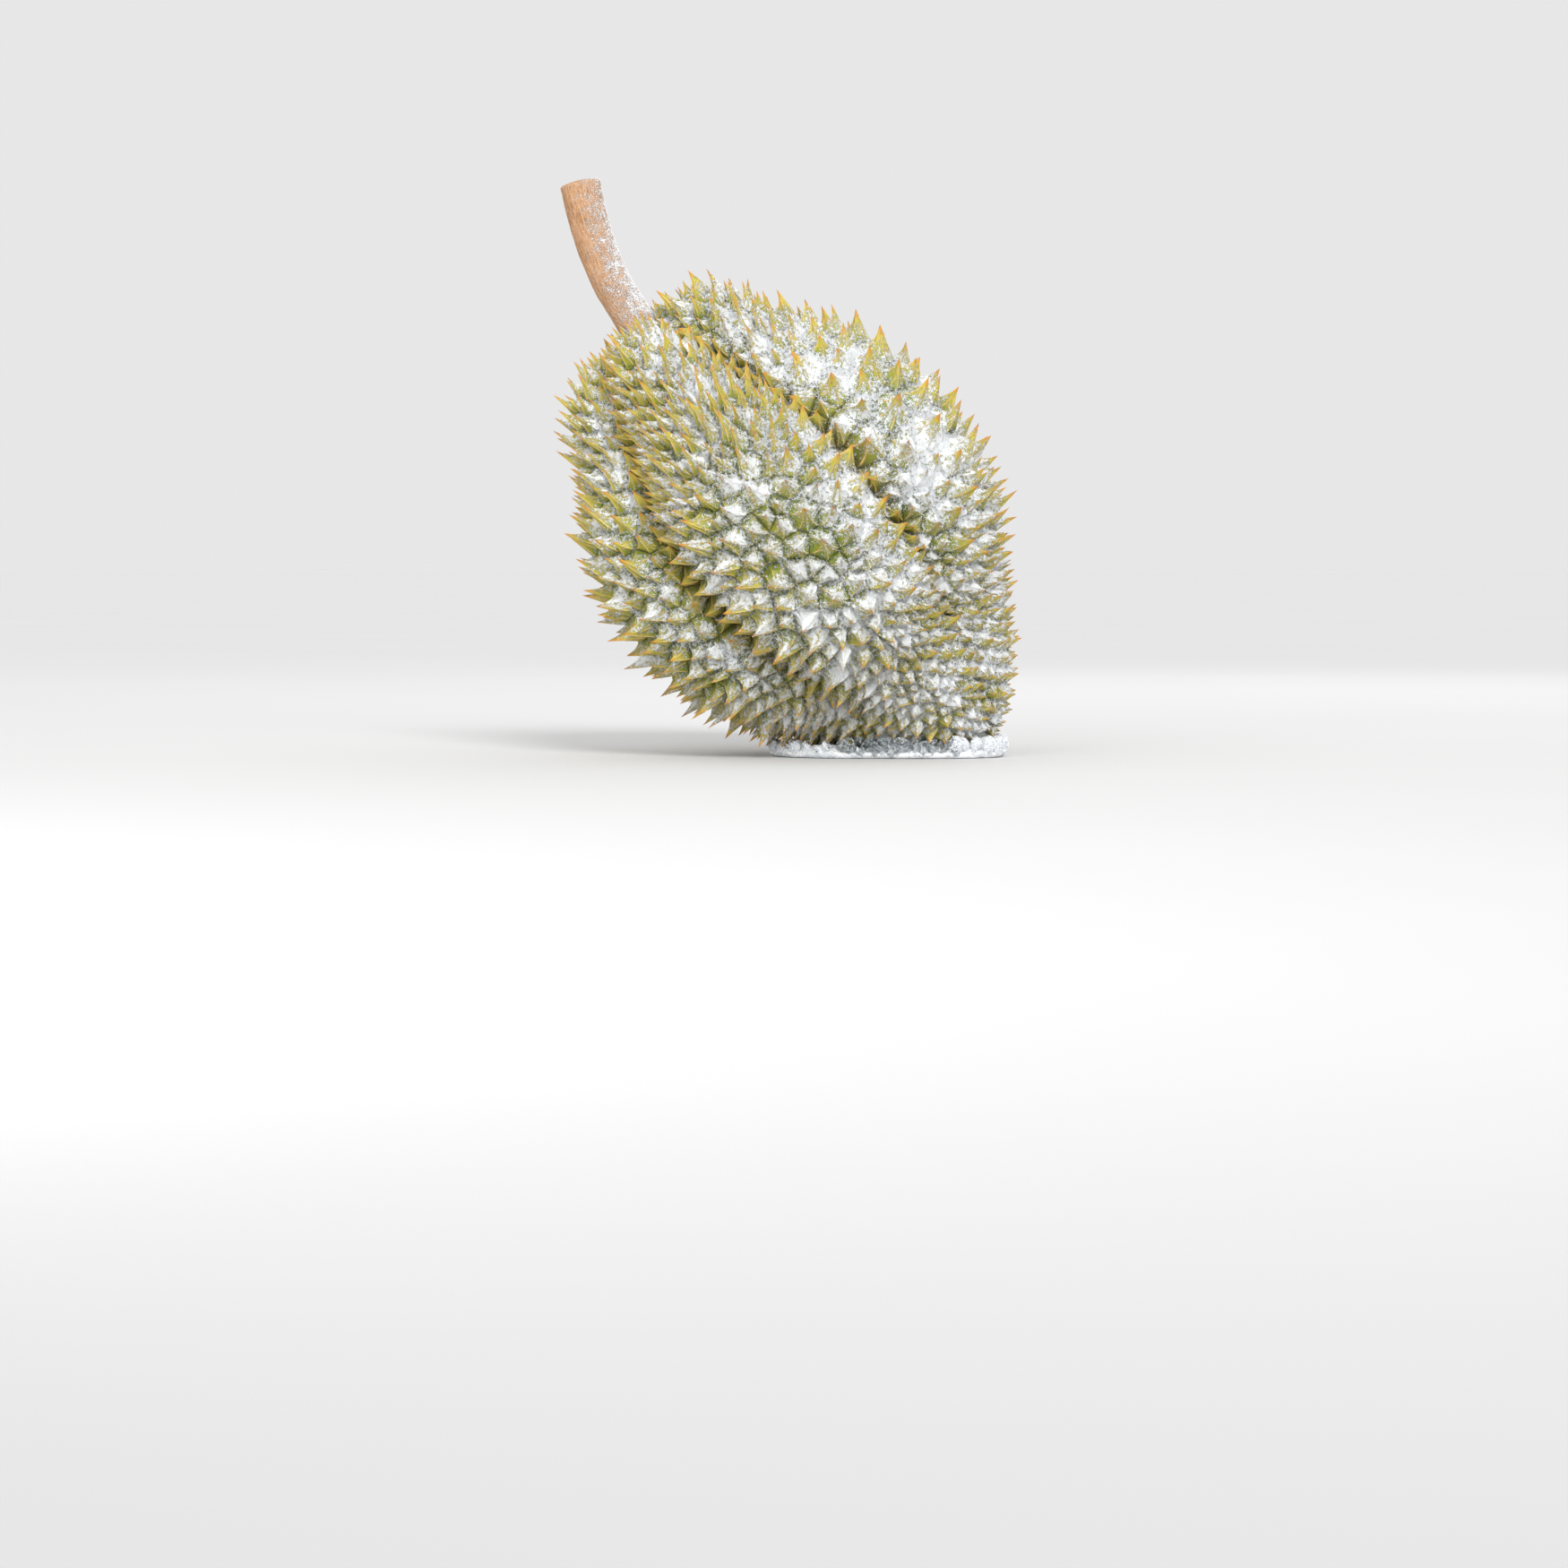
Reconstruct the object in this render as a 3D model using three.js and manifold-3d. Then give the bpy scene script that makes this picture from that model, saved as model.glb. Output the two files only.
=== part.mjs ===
// A whole frozen durian. It leans on the flank of its pointed end in a thin patch of ice, with its stem up.
// Three pieces: the husk with all its spines, the woody stem, and the ice that the husk is frozen into.
// Millimetres, +Z up. The origin is the middle of the ice patch, on the surface that it lies on.
import * as THREE from "three";
import { ConvexHull } from "three/addons/math/ConvexHull.js";
import { mergeVertices } from "three/addons/utils/BufferGeometryUtils.js";
import Module from "manifold-3d";

const wasm = await Module();
wasm.setup();

const DEG = Math.PI / 180;
const GOLDEN_ANGLE = Math.PI * (3 - Math.sqrt(5));

// The husk without its spines: its radius from the centre, every 18 degrees from stem end to blossom end.
const BODY_CENTRE = new THREE.Vector3(-44.8, 0, 111.2);
const BODY_RADII = [127, 131, 110.5, 104.5, 101, 97, 96.5, 96, 101, 121.3, 140];
const AXIS_LEAN = 40.6 * DEG;

// Five lobes with a groove between each two, deep near the stem and faint near the blossom end.
const LOBES = 5;
const LOBE_CREST = -6 * DEG;
const GROOVE_DEPTH = 0.2;
const GROOVE_SHARPNESS = 0.58;
const GROOVE_STARTS = [0, 18 * DEG];
const GROOVE_FADES = [95 * DEG, 165 * DEG];
const GROOVE_FADED_BY = 0.75;

// Distance between neighbouring spines: at the stem end, at the widest part, there on the lobe that
// faces up and right, and at the blossom end. The wide zone lies a little lower on the forward lobe, and
// is narrower there. A pair of angles is where a change starts and where it is complete.
const SPACING_STEM = 9.1;
const SPACING_MIDDLE = 15;
const SPACING_RIGHT_LOBE = 19.5;
const RIGHT_LOBE_MIDDLE = 60 * DEG;
const RIGHT_LOBE_EDGE = [50 * DEG, 15 * DEG];
const SPACING_BLOSSOM = 7.5;
const BLOSSOM_SPACING_FROM = [90 * DEG, 180 * DEG];
const WIDEST_AT = 72 * DEG;
const WIDEST_ON_FORWARD_LOBE = 93 * DEG;
const WIDE_TO_STEM = 37 * DEG;
const WIDE_TO_BLOSSOM = 47 * DEG;
const WIDE_ZONE_SHARPNESS = 2.6;
const FORWARD_LOBE_EDGE = [46 * DEG, 26 * DEG];
const FORWARD_LOBE_NARROWING = 0.25;

// Where the spines stand: candidates over the whole body, their sizes, and the room that each one needs.
const CANDIDATES = 60013;
const CANDIDATE_STRIDE = 7919;
const LARGEST_SIZE = 1.15;
const SIZE_RANGE = 0.6;
const SMALL_SIZE_RARITY = 1.8;
const PACKING = 0.78;

// The spines' height, which is less near both ends, on small feet and in the grooves. Then their lean
// towards the stem, and where the flanks of large ones bend.
const SPINE_HEIGHT = 15;
const STEM_HEIGHT_SHARE = 0.87;
const STEM_HEIGHT_ZONE = [15 * DEG, 60 * DEG];
const BLOSSOM_HEIGHT_SHARE = 0.42;
const BLOSSOM_HEIGHT_ZONE = [118 * DEG, 172 * DEG];
const GROOVE_HEIGHT_SHARE = 0.6;
const HEIGHT_BY_SIZE = 0.8;
const LEAST_HEIGHT = 0.92;
const HEIGHT_RANGE = 0.16;
const LEAN_AT_STEM = 0.62;
const LEAN_ELSEWHERE = 0.18;
const LEAN_ZONE = [40 * DEG, 85 * DEG];
const SPINE_SPLAY = 0.16;
const HOLLOW_FLANK_SPACING = 17.8;
const SHOULDER_SHARE = 0.42;
const SHOULDER_RISE = 0.33;

// The stem: where its middle line runs, from inside the husk to its cut end, and its radius there.
const STEM_PATH = [
  [-119, 0, 204],
  [-131, 0, 221],
  [-136.6, 0, 230],
  [-143.3, 0, 243],
  [-148.6, 0, 257.4],
  [-152.6, 0, 271.4],
  [-156, 0, 287.4],
];
const STEM_RADIUS = 9.6;
const STEM_END_FLARE = 0.07;
const STEM_FOOT_FLARE = 0.1;
const STEM_SIDES = 20;
const STEM_STEPS = 14;
const STEM_SEAT_RADIUS = 13;
const STEM_GAP = 0.35;

// The ice patch: its outline, how high and how far in its rim runs, and the floor that the husk stands on.
const ICE_HALF_LENGTH = 60;
const ICE_HALF_WIDTH = 38;
const ICE_RIM = [[0, 2.2], [1.6, 0.2], [3.6, 0], [5.5, 1.2], [7.5, 4.5]];
const ICE_FLOOR = 4.7;
const ICE_GAP = 0.3;
const ICE_GROW = 0.7;
const ICE_SIDE_GAP = 0.4;
const ICE_SQUARENESS = 2.3;
const ICE_WAVES = [[3, 3.9, 0.03], [7, 5.2, 0.022]]; // each wave's count, phase and share
const ICE_SIDES = 48;
const ICE_LUMPS = 32;
const LUMP_RADIUS = 3.8;
const LUMP_SIZES = [0.85, 1.2];
const LUMP_STRETCH = [1.15, 1.45];
const LUMP_INSET = 3.4;
const LUMP_CENTRE_HEIGHT = 5.8;

// Seeds of the repeatable draws.
const SITE_SEED = 20611;
const SHAPE_SEED = 977;
const LUMP_SEED = 431;

// A closed geometry as a solid that booleans can use.
function solidOf(geometry) {
  const bare = geometry.index ? geometry.toNonIndexed() : geometry.clone();
  bare.deleteAttribute("normal");
  bare.deleteAttribute("uv");
  const merged = mergeVertices(bare, 1e-4);
  return new wasm.Manifold(
    new wasm.Mesh({
      numProp: 3,
      vertProperties: new Float32Array(merged.attributes.position.array),
      triVerts: new Uint32Array(merged.index.array),
    }),
  );
}

function geometryOf(solid) {
  const mesh = solid.getMesh();
  const geometry = new THREE.BufferGeometry();
  geometry.setAttribute("position", new THREE.BufferAttribute(new Float32Array(mesh.vertProperties), 3));
  geometry.setIndex(new THREE.BufferAttribute(new Uint32Array(mesh.triVerts), 1));
  geometry.computeVertexNormals();
  return geometry;
}

// A geometry from triangles, each given as three points.
function geometryFromTriangles(triangles) {
  const geometry = new THREE.BufferGeometry();
  const numbers = triangles.flat().flatMap((p) => p.toArray());
  geometry.setAttribute("position", new THREE.Float32BufferAttribute(numbers, 3));
  return geometry;
}

const { lerp } = THREE.MathUtils;

// 0 before the first value of the zone, 1 past the second, and smooth between.
function smoothStep([first, second], x) {
  const t = Math.min(1, Math.max(0, (x - first) / (second - first)));
  return t * t * (3 - 2 * t);
}

// Repeatable draws between 0 and 1.
function drawer(seed) {
  let state = seed;
  return () => {
    state = (state * 48271) % 2147483647;
    return state / 2147483647;
  };
}

// The fruit's own frame: the stem axis, the side that faces forward, and the side that faces up and right.
const STEM_AXIS = new THREE.Vector3(-Math.sin(AXIS_LEAN), 0, Math.cos(AXIS_LEAN));
const FORWARD = new THREE.Vector3(0, -1, 0);
const SIDEWAYS = new THREE.Vector3().crossVectors(STEM_AXIS, FORWARD);

// Angle from the stem axis, and angle round it from the forward side.
function anglesOf(direction) {
  return {
    polar: Math.acos(Math.min(1, Math.max(-1, direction.dot(STEM_AXIS)))),
    around: Math.atan2(direction.dot(SIDEWAYS), direction.dot(FORWARD)),
  };
}

// Radius of the plain body: a smooth cubic through BODY_RADII, level at both ends.
function plainRadius(polar) {
  const last = BODY_RADII.length - 1;
  const place = (polar / Math.PI) * last;
  const i = Math.min(last - 1, Math.floor(place));
  const t = place - i;
  const a = BODY_RADII[Math.abs(i - 1)];
  const b = BODY_RADII[i];
  const c = BODY_RADII[i + 1];
  const d = BODY_RADII[i + 2 > last ? 2 * last - i - 2 : i + 2];
  return b + 0.5 * t * (c - a + t * (2 * a - 5 * b + 4 * c - d + t * (3 * (b - c) + d - a)));
}

// 1 on a lobe's crest and 0 in a groove.
function lobeShare(around) {
  return Math.abs(Math.cos((LOBES / 2) * (around - LOBE_CREST))) ** GROOVE_SHARPNESS;
}

// How deep the direction lies in a groove: 1 at the bottom of a full groove.
function grooveShare(direction) {
  const { polar, around } = anglesOf(direction);
  const fade = smoothStep(GROOVE_STARTS, polar) * (1 - GROOVE_FADED_BY * smoothStep(GROOVE_FADES, polar));
  return fade * (1 - lobeShare(around));
}

function bodyRadius(direction) {
  return plainRadius(anglesOf(direction).polar) * (1 - GROOVE_DEPTH * grooveShare(direction));
}

function bodyPoint(direction) {
  return direction.clone().multiplyScalar(bodyRadius(direction));
}

// Outward normal of the body, from two short steps across it.
function bodyNormal(direction) {
  const step = 0.03;
  const across = new THREE.Vector3(0, 0, 1).cross(direction);
  if (across.lengthSq() < 1e-6) across.set(1, 0, 0);
  across.normalize();
  const along = new THREE.Vector3().crossVectors(direction, across);
  const slope = (side) => {
    const ahead = bodyPoint(direction.clone().addScaledVector(side, step).normalize());
    return ahead.sub(bodyPoint(direction.clone().addScaledVector(side, -step).normalize()));
  };
  return slope(across).cross(slope(along)).normalize();
}

// Distance between neighbouring spines: coarse over the middle of each lobe, fine towards both ends.
function spacingAt(direction) {
  const { polar, around } = anglesOf(direction);
  const onForwardLobe = smoothStep(FORWARD_LOBE_EDGE, Math.abs(around - LOBE_CREST));
  const widest = lerp(WIDEST_AT, WIDEST_ON_FORWARD_LOBE, onForwardLobe);
  const reach = polar < widest ? WIDE_TO_STEM : WIDE_TO_BLOSSOM;
  const narrowed = reach * (1 - FORWARD_LOBE_NARROWING * onForwardLobe);
  const coarse = Math.exp(-((Math.abs(polar - widest) / narrowed) ** WIDE_ZONE_SHARPNESS));
  const fine = lerp(SPACING_STEM, SPACING_BLOSSOM, smoothStep(BLOSSOM_SPACING_FROM, polar));
  const onRightLobe = smoothStep(RIGHT_LOBE_EDGE, Math.abs(around - RIGHT_LOBE_MIDDLE));
  return lerp(fine, lerp(SPACING_MIDDLE, SPACING_RIGHT_LOBE, onRightLobe), coarse);
}

// Sites of the spines: candidates spread evenly, taken in a mixed order and kept where there is room.
// The first site is the stem's seat, which has no spine.
function placeSites() {
  const draw = drawer(SITE_SEED);
  const seat = new THREE.Vector3(...STEM_PATH[1]).sub(BODY_CENTRE).normalize();
  const sites = [{ direction: seat, base: bodyPoint(seat), size: 2 * STEM_SEAT_RADIUS, isSeat: true }];
  for (let k = 0; k < CANDIDATES; k++) {
    const i = (k * CANDIDATE_STRIDE) % CANDIDATES;
    const z = 1 - (2 * (i + 0.5)) / CANDIDATES;
    const ring = Math.sqrt(1 - z * z);
    const turn = i * GOLDEN_ANGLE;
    const direction = new THREE.Vector3(ring * Math.cos(turn), ring * Math.sin(turn), z);
    const size = spacingAt(direction) * (LARGEST_SIZE - SIZE_RANGE * draw() ** SMALL_SIZE_RARITY);
    const base = bodyPoint(direction);
    if (sites.every((s) => s.base.distanceTo(base) > (PACKING * (s.size + size)) / 2)) {
      sites.push({ direction, base, size, isSeat: false });
    }
  }
  return sites;
}

// Where each spine points and how tall it is: out along the normal, swept towards the stem near the stem end.
function shapeSpines(sites) {
  const draw = drawer(SHAPE_SEED);
  for (const site of sites) {
    const { polar } = anglesOf(site.direction);
    const normal = bodyNormal(site.direction);
    const stemward = STEM_AXIS.clone().addScaledVector(normal, -STEM_AXIS.dot(normal));
    const splay = new THREE.Vector3(draw() - 0.5, draw() - 0.5, draw() - 0.5).multiplyScalar(2 * SPINE_SPLAY);
    const sweep = lerp(LEAN_AT_STEM, LEAN_ELSEWHERE, smoothStep(LEAN_ZONE, polar));
    site.points = normal.clone().addScaledVector(stemward, sweep).add(splay).normalize();
    const nearStem = lerp(STEM_HEIGHT_SHARE, 1, smoothStep(STEM_HEIGHT_ZONE, polar));
    const taper = lerp(nearStem, BLOSSOM_HEIGHT_SHARE, smoothStep(BLOSSOM_HEIGHT_ZONE, polar));
    const inGroove = lerp(1, GROOVE_HEIGHT_SHARE, grooveShare(site.direction));
    const bySize = (site.size / spacingAt(site.direction)) ** HEIGHT_BY_SIZE;
    const tall = SPINE_HEIGHT * taper * inGroove * bySize;
    site.height = site.isSeat ? 0 : tall * (LEAST_HEIGHT + HEIGHT_RANGE * draw());
  }
}

// The cells that the spines' feet fill: each hull face over the weighted sites is a corner of three feet.
function cellsOf(sites) {
  const points = sites.map((s) => {
    const share = s.size / 2 / s.base.length();
    return s.direction.clone().multiplyScalar(1 + 0.5 * share ** 2);
  });
  const indexOf = new Map(points.map((p, i) => [p, i]));
  const cells = sites.map(() => []);
  for (const face of new ConvexHull().setFromPoints(points).faces) {
    const corner = bodyPoint(face.normal.clone().normalize());
    let edge = face.edge;
    do {
      cells[indexOf.get(edge.head().point)].push(corner);
      edge = edge.next;
    } while (edge !== face.edge);
  }
  return cells.map(inOrder);
}

// Corners sorted counter-clockwise, seen from outside.
function inOrder(corners) {
  const sum = corners.reduce((total, c) => total.add(c), new THREE.Vector3());
  const middle = sum.divideScalar(corners.length || 1);
  const out = middle.clone().normalize();
  const right = new THREE.Vector3(0, 0, 1).cross(out).normalize();
  const up = new THREE.Vector3().crossVectors(out, right);
  const turn = (c) => Math.atan2(c.clone().sub(middle).dot(up), c.clone().sub(middle).dot(right));
  return [...corners].sort((a, b) => turn(a) - turn(b));
}

// The husk: a pyramid on every cell. A wide one has a low shoulder, so that its flanks are hollow.
// grow lifts the whole surface, for a copy that clears the husk.
function huskGeometry(sites, cells, grow = 0) {
  const triangles = [];
  const lifted = (point) => {
    const outward = bodyNormal(point.clone().normalize());
    return point.clone().addScaledVector(outward, grow).add(BODY_CENTRE);
  };
  sites.forEach((site, i) => {
    const corners = cells[i];
    const count = corners.length;
    if (!count) return;
    const foot = corners.reduce((sum, c) => sum.add(c), new THREE.Vector3()).divideScalar(count);
    const tip = lifted(foot.clone().addScaledVector(site.points, site.height ? site.height + grow : 0));
    const rim = corners.map(lifted);
    const shoulder = corners.map((c) =>
      lifted(foot.clone().lerp(c, SHOULDER_SHARE).addScaledVector(site.points, site.height * SHOULDER_RISE)),
    );
    const hollow = site.size > HOLLOW_FLANK_SPACING && !site.isSeat;
    for (let k = 0; k < count; k++) {
      const n = (k + 1) % count;
      if (hollow) {
        triangles.push([tip, shoulder[k], shoulder[n]]);
        triangles.push([shoulder[k], rim[k], rim[n]]);
        triangles.push([shoulder[k], rim[n], shoulder[n]]);
      } else {
        triangles.push([tip, rim[k], rim[n]]);
      }
    }
  });
  return geometryFromTriangles(triangles);
}

// A closed skin over rings of points, with a fan over each end.
function skinOver(rings) {
  const triangles = [];
  const sides = rings[0].length;
  for (let r = 0; r + 1 < rings.length; r++) {
    for (let k = 0; k < sides; k++) {
      const n = (k + 1) % sides;
      triangles.push([rings[r][k], rings[r][n], rings[r + 1][n]]);
      triangles.push([rings[r][k], rings[r + 1][n], rings[r + 1][k]]);
    }
  }
  const middleOf = (ring) => ring.reduce((sum, p) => sum.add(p), new THREE.Vector3()).divideScalar(sides);
  const first = middleOf(rings[0]);
  const last = middleOf(rings.at(-1));
  for (let k = 0; k < sides; k++) {
    const n = (k + 1) % sides;
    triangles.push([first, rings[0][n], rings[0][k]]);
    triangles.push([last, rings.at(-1)[k], rings.at(-1)[n]]);
  }
  return geometryFromTriangles(triangles);
}

// The stem, a little thicker at its cut end and where it joins the husk.
function stemGeometry(grow = 0) {
  const curve = new THREE.CatmullRomCurve3(STEM_PATH.map((p) => new THREE.Vector3(...p)));
  const rings = [];
  for (let step = 0; step <= STEM_STEPS; step++) {
    const t = step / STEM_STEPS;
    const middle = curve.getPointAt(t);
    const ahead = curve.getTangentAt(t);
    const side = new THREE.Vector3(0, -1, 0);
    const up = new THREE.Vector3().crossVectors(ahead, side);
    const flare = STEM_END_FLARE * t ** 3 + STEM_FOOT_FLARE * (1 - t) ** 6;
    const radius = STEM_RADIUS * (1 + flare) + grow;
    rings.push(
      Array.from({ length: STEM_SIDES }, (_, k) => {
        const turn = (2 * Math.PI * k) / STEM_SIDES;
        const spoke = side.clone().multiplyScalar(Math.cos(turn)).addScaledVector(up, Math.sin(turn));
        return middle.clone().addScaledVector(spoke, radius);
      }),
    );
  }
  return skinOver(rings);
}

// Outline of the ice patch at a turn round the origin: a long, slightly squared oval with soft waves.
function iceEdge(turn, inset) {
  const waves = ICE_WAVES.map(([count, phase, share]) => share * Math.sin(count * turn + phase));
  const wave = waves.reduce((sum, height) => sum + height, 1);
  const along = Math.abs(Math.cos(turn)) / ICE_HALF_LENGTH;
  const across = Math.abs(Math.sin(turn)) / ICE_HALF_WIDTH;
  const oval = (along ** ICE_SQUARENESS + across ** ICE_SQUARENESS) ** (-1 / ICE_SQUARENESS);
  return oval * wave - inset;
}

// A flat-bottomed patch with a rounded rim, and lumps of clear ice on it round the husk.
function iceGeometries() {
  const turns = Array.from({ length: ICE_SIDES }, (_, k) => (2 * Math.PI * k) / ICE_SIDES);
  const spoke = (turn) => new THREE.Vector3(Math.cos(turn), Math.sin(turn), 0);
  const rimPoint = (turn, inset) => spoke(turn).multiplyScalar(iceEdge(turn, inset));
  const rimRing = ([height, inset]) => turns.map((turn) => rimPoint(turn, inset).setZ(height));
  const patch = skinOver(ICE_RIM.map(rimRing));
  const draw = drawer(LUMP_SEED);
  const lumps = Array.from({ length: ICE_LUMPS }, (_, k) => {
    const turn = (2 * Math.PI * (k + 0.5 * draw())) / ICE_LUMPS;
    const size = LUMP_RADIUS * lerp(...LUMP_SIZES, draw());
    const lump = new THREE.IcosahedronGeometry(1, 0);
    lump.scale(size, size, size * lerp(...LUMP_STRETCH, draw()));
    lump.rotateZ(draw() * Math.PI);
    const middle = rimPoint(turn, LUMP_INSET);
    return lump.translate(middle.x, middle.y, LUMP_CENTRE_HEIGHT);
  });
  return [patch, ...lumps];
}

function boxBelow(z) {
  const size = 600;
  return solidOf(new THREE.BoxGeometry(size, size, size).translate(0, 0, z - size / 2));
}

const sites = placeSites();
shapeSpines(sites);
const cells = cellsOf(sites);

const floor = boxBelow(ICE_FLOOR + ICE_GAP);
const wholeHusk = solidOf(huskGeometry(sites, cells));
const husk = wholeHusk.subtract(solidOf(stemGeometry(STEM_GAP))).subtract(floor);

// The room that the ice leaves free: the husk lifted off its surface, and moved a little to each side.
const movedHusks = [[1, 0], [-1, 0], [0, 1], [0, -1]].map(([x, y]) =>
  wholeHusk.translate([x * ICE_SIDE_GAP, y * ICE_SIDE_GAP, 0]),
);
const iceRoom = movedHusks
  .reduce((room, moved) => room.add(moved), solidOf(huskGeometry(sites, cells, ICE_GROW)))
  .subtract(boxBelow(ICE_FLOOR));
const ice = iceGeometries()
  .map(solidOf)
  .reduce((whole, piece) => whole.add(piece))
  .subtract(iceRoom)
  .subtract(husk);
const largestPiece = (solid) => solid.decompose().reduce((a, b) => (a.volume() > b.volume() ? a : b));

const part = new THREE.Group();

function addPiece(name, geometry, finish) {
  const mesh = new THREE.Mesh(geometry, new THREE.MeshStandardMaterial({ metalness: 0, ...finish }));
  mesh.name = name;
  part.add(mesh);
}

addPiece("husk", geometryOf(largestPiece(husk)), { color: 0x8c9456, roughness: 0.7 });
addPiece("stem", geometryOf(solidOf(stemGeometry())), { color: 0xb98a5c, roughness: 0.8 });
addPiece("ice", geometryOf(largestPiece(ice)), {
  color: 0xe6edf0,
  roughness: 0.12,
  transparent: true,
  opacity: 0.6,
});

export default part;
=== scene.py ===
# A frozen durian: the spiny husk, its stem, the ice under it, and the frost on all of them.
import math

import bmesh
import bpy
import numpy as np
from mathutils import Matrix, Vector


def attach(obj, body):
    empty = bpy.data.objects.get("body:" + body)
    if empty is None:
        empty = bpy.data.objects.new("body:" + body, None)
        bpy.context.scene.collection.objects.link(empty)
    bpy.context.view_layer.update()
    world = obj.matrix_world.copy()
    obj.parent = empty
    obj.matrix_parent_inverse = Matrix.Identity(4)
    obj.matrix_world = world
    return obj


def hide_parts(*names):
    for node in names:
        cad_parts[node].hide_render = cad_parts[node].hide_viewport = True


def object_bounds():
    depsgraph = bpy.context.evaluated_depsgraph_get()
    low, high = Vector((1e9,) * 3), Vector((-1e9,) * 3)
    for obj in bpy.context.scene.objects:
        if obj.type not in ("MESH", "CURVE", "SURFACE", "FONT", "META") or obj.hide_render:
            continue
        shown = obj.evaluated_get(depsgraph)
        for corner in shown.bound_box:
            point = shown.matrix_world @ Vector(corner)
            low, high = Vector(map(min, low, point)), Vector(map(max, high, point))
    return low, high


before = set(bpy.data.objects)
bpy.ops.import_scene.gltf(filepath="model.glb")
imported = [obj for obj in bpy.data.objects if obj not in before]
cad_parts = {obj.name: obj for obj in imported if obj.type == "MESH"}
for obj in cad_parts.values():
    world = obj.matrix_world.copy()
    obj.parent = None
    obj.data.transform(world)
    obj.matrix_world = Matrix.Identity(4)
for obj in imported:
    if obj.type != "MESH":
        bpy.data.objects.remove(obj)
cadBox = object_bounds()
print("stage: packed model loaded")

mm = 0.001
deg = math.pi / 180


# Small helpers for numbers and meshes.

def smoothStep(low, high, x):
    t = np.clip((x - low) / (high - low), 0, 1)
    return t * t * (3 - 2 * t)


def mixed(a, b, t):
    return a + (b - a) * t


def unit(vectors):
    return vectors / np.linalg.norm(vectors, axis=-1, keepdims=True)


def dot(a, b):
    return (a * b).sum(axis=-1)


# Repeatable draws between 0 and 1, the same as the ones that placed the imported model's spines.
def drawMany(seed, count):
    values = np.empty(count)
    state = seed
    for k in range(count):
        state = state * 48271 % 2147483647
        values[k] = state / 2147483647
    return values


# A mesh from arrays of points in millimetres and triangles.
def meshFrom(name, points, triangles):
    mesh = bpy.data.meshes.new(name)
    mesh.vertices.add(len(points))
    mesh.vertices.foreach_set("co", (points * mm).astype(np.float32).ravel())
    mesh.loops.add(triangles.size)
    mesh.loops.foreach_set("vertex_index", triangles.astype(np.int32).ravel())
    mesh.polygons.add(len(triangles))
    mesh.polygons.foreach_set("loop_start", np.arange(0, triangles.size, 3, dtype=np.int32))
    mesh.update(calc_edges=True)
    return mesh


def setSmooth(mesh, smooth):
    mesh.polygons.foreach_set("use_smooth", np.full(len(mesh.polygons), smooth))


def addAttribute(mesh, name, values):
    layer = mesh.attributes.new(name, "FLOAT", "POINT")
    layer.data.foreach_set("value", values.astype(np.float32))


def vertexNormals(mesh):
    normals = np.empty(len(mesh.vertices) * 3, dtype=np.float32)
    mesh.vertices.foreach_get("normal", normals)
    return normals.reshape(-1, 3).astype(float)


def vertexPoints(mesh):
    points = np.empty(len(mesh.vertices) * 3, dtype=np.float32)
    mesh.vertices.foreach_get("co", points)
    return points.reshape(-1, 3).astype(float) / mm


def addPiece(name, mesh, material, slot, *replaced):
    piece = bpy.data.objects.new(name, mesh)
    bpy.context.scene.collection.objects.link(piece)
    mesh.materials.append(material)
    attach(piece, "root")
    if replaced:
        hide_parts(*replaced)
    return piece


# Shader maths: a Wire is a node's output, and arithmetic on it adds Math nodes.

class Wire:
    def __init__(self, recipe, socket):
        self.recipe = recipe
        self.socket = socket

    def maths(self, operation, first, second):
        return self.recipe.add("ShaderNodeMath", {"operation": operation}, {0: first, 1: second})

    def __add__(self, other):
        return self.maths("ADD", self, other)

    def __radd__(self, other):
        return self.maths("ADD", other, self)

    def __sub__(self, other):
        return self.maths("SUBTRACT", self, other)

    def __rsub__(self, other):
        return self.maths("SUBTRACT", other, self)

    def __mul__(self, other):
        return self.maths("MULTIPLY", self, other)

    def __rmul__(self, other):
        return self.maths("MULTIPLY", other, self)

    def __pow__(self, other):
        return self.maths("POWER", self, other)

    def __rpow__(self, other):
        return self.maths("POWER", other, self)


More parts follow.
